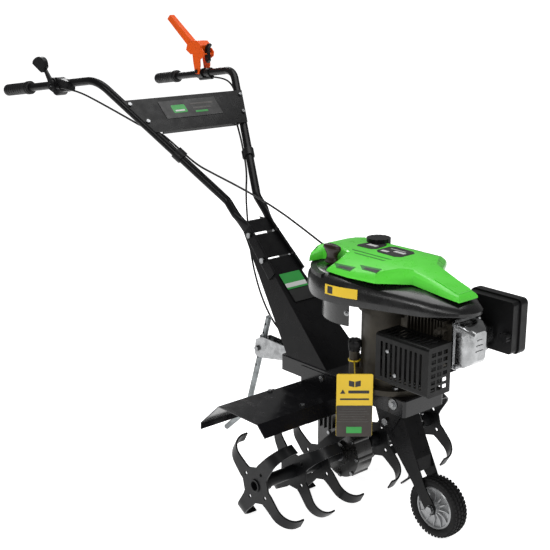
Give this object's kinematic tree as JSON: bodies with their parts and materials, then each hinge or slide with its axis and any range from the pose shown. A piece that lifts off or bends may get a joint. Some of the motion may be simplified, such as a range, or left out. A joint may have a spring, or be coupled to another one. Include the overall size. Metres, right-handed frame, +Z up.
{
  "type": "mini cultivator",
  "caption": "Walk-behind mini cultivator: petrol engine over bent tines, folded deck and fenders, front transport wheel, depth stake and swept handlebars.",
  "frame": {"origin": "on the ground under the middle of the whole machine's box", "axes": "+X forward along the machine, +Y to its left, +Z up"},
  "size_m": [1.5057, 0.632, 1.088],
  "materials": {
    "black_paint": "satin",
    "deck_paint": "gloss",
    "tine_paint": "satin",
    "gear_paint": "satin painted casting",
    "zinc": "zinc plated",
    "galvanised": "galvanised",
    "shaft_steel": "turned",
    "cast_aluminium": "rough cast",
    "bright_aluminium": "bright cast",
    "rim_silver": "satin",
    "tyre_rubber": "matte",
    "grip_rubber": "matte",
    "belt_rubber": "matte",
    "cable_jacket": "satin",
    "black_plastic": "satin",
    "shroud_plastic": "semi-gloss",
    "green_plastic": "semi-gloss",
    "orange_plastic": "semi-gloss",
    "brown_plastic": "satin",
    "tank_plastic": "satin",
    "guard_paint": "heat-resistant paint",
    "card": "coated card",
    "rope": "braided",
    "spring_steel": "zinc plated"
  },
  "bodies": {
    "chassis": {"engine_deck": "deck_paint", "base_plate": "black_paint", "column": "black_paint", "handle_tube_right": "black_paint", "handle_tube_left": "black_paint", "cross_panel": "black_paint", "grip_right": "grip_rubber", "grip_left": "grip_rubber", "throttle_housing": "black_plastic", "clutch_bracket": "black_plastic", "cable_clips": "black_plastic", "throttle_cable": "cable_jacket", "clutch_cable": "cable_jacket", "fender_inner": "deck_paint", "fender_outer_right": "deck_paint", "fender_outer_left": "deck_paint", "stake_bracket": "zinc", "leg_spring": "spring_steel", "gearbox_case_right": "gear_paint", "gearbox_case_left": "gear_paint", "shaft_bearings": "shaft_steel", "drive_belt": "belt_rubber", "engine_block": "cast_aluminium", "cylinder_head": "cast_aluminium", "rocker_cover": "bright_aluminium", "muffler": "guard_paint", "muffler_guard": "guard_paint", "carburettor": "bright_aluminium", "air_filter_base": "black_plastic", "air_filter_cover": "black_plastic", "blower_shroud": "shroud_plastic", "fuel_tank": "tank_plastic", "top_cover": "green_plastic", "starter_rope": "rope", "hang_tag": "card", "fasteners": "zinc"},
    "tines": {"worm_wheel": "shaft_steel", "tine_shaft": "tine_paint", "tine_pins": "zinc", "tines_outer_right": "tine_paint", "tines_inner_right": "tine_paint", "tines_inner_left": "tine_paint", "tines_outer_left": "tine_paint"},
    "worm": {"worm_shaft": "shaft_steel", "driven_pulley": "shaft_steel"},
    "crank": {"crankshaft": "shaft_steel", "engine_pulley": "shaft_steel"},
    "wheel_leg": {"wheel_leg": "black_paint", "wheel_bolt": "zinc"},
    "wheel": {"wheel_rim": "rim_silver", "tyre": "tyre_rubber"},
    "clutch_lever": {"clutch_lever": "orange_plastic"},
    "clutch_latch": {"clutch_latch": "black_plastic"},
    "belt_idler": {"belt_idler": "zinc"},
    "throttle_lever": {"throttle_lever": "black_plastic"},
    "depth_stake": {"depth_stake": "galvanised"},
    "recoil_handle": {"recoil_handle": "brown_plastic"},
    "fuel_cap": {"fuel_cap": "black_plastic"},
    "dipstick": {"dipstick": "black_plastic"},
    "air_filter_knob": {"air_filter_knob": "black_plastic"}
  },
  "joints": [
    {"name": "tine_spin", "type": "hinge", "parent": "chassis", "child": "tines", "pos_m": [0.3629, 0, 0.106], "axis": [0, 1, 0], "continuous": true},
    {"name": "worm_spin", "type": "hinge", "parent": "chassis", "child": "worm", "pos_m": [0.3089, 0, 0.106], "axis": [0, 0, 1], "continuous": true},
    {"name": "crank_spin", "type": "hinge", "parent": "chassis", "child": "crank", "pos_m": [0.4979, 0, 0.3], "axis": [0, 0, 1], "continuous": true},
    {"name": "leg_fold", "type": "hinge", "parent": "chassis", "child": "wheel_leg", "pos_m": [0.5149, 0, 0.238], "axis": [0, 1, 0], "range_deg": [-27, 0], "deforming": ["leg_spring"]},
    {"name": "wheel_spin", "type": "hinge", "parent": "wheel_leg", "child": "wheel", "pos_m": [0.6509, 0, 0.07], "axis": [0, 1, 0], "continuous": true},
    {"name": "clutch_squeeze", "type": "hinge", "parent": "chassis", "child": "clutch_lever", "pos_m": [-0.4986, 0.2354, 0.933], "axis": [0, 1, 0], "range_deg": [-35, 0], "stiffness_Nm_per_rad": 0.8, "springref_deg": 22.92},
    {"name": "idler_swing", "type": "hinge", "parent": "chassis", "child": "belt_idler", "pos_m": [0.4349, -0.008, 0.288], "axis": [0, 0, 1], "range_deg": [-10.2, 0]},
    {"name": "latch_turn", "type": "hinge", "parent": "clutch_lever", "child": "clutch_latch", "pos_m": [-0.4701, 0.2354, 0.984], "axis": [0, 1, 0], "range_deg": [0, 20], "stiffness_Nm_per_rad": 0.02, "springref_deg": -17.19},
    {"name": "throttle_turn", "type": "hinge", "parent": "chassis", "child": "throttle_lever", "pos_m": [-0.5051, -0.254, 0.926], "axis": [0, 1, 0], "range_deg": [-25, 0]},
    {"name": "stake_slide", "type": "slide", "parent": "chassis", "child": "depth_stake", "axis": [0.3019, 0, 0.9533], "range_m": [0, 0.075]},
    {"name": "recoil_pull", "type": "slide", "parent": "chassis", "child": "recoil_handle", "axis": [0, 0, 1], "range_m": [0, 0.45], "stiffness_N_per_m": 10, "springref_m": -0.2, "deforming": ["starter_rope"]},
    {"name": "fuel_cap_turn", "type": "hinge", "parent": "chassis", "child": "fuel_cap", "pos_m": [0.3909, 0.06, 0.62], "axis": [0, 0, 1], "range_deg": [0, 90]},
    {"name": "dipstick_pull", "type": "slide", "parent": "chassis", "child": "dipstick", "axis": [0, 0, 1], "range_m": [0, 0.06]},
    {"name": "air_knob_turn", "type": "hinge", "parent": "chassis", "child": "air_filter_knob", "pos_m": [0.7359, 0.091, 0.468], "axis": [0, 1, 0], "range_deg": [0, 90]}
  ],
  "couplings": [
    {"joint": "worm_spin", "follows": "tine_spin", "ratio": -20},
    {"joint": "crank_spin", "follows": "tine_spin", "ratio": -30},
    {"joint": "idler_swing", "follows": "clutch_squeeze", "ratio": 0.2857}
  ]
}
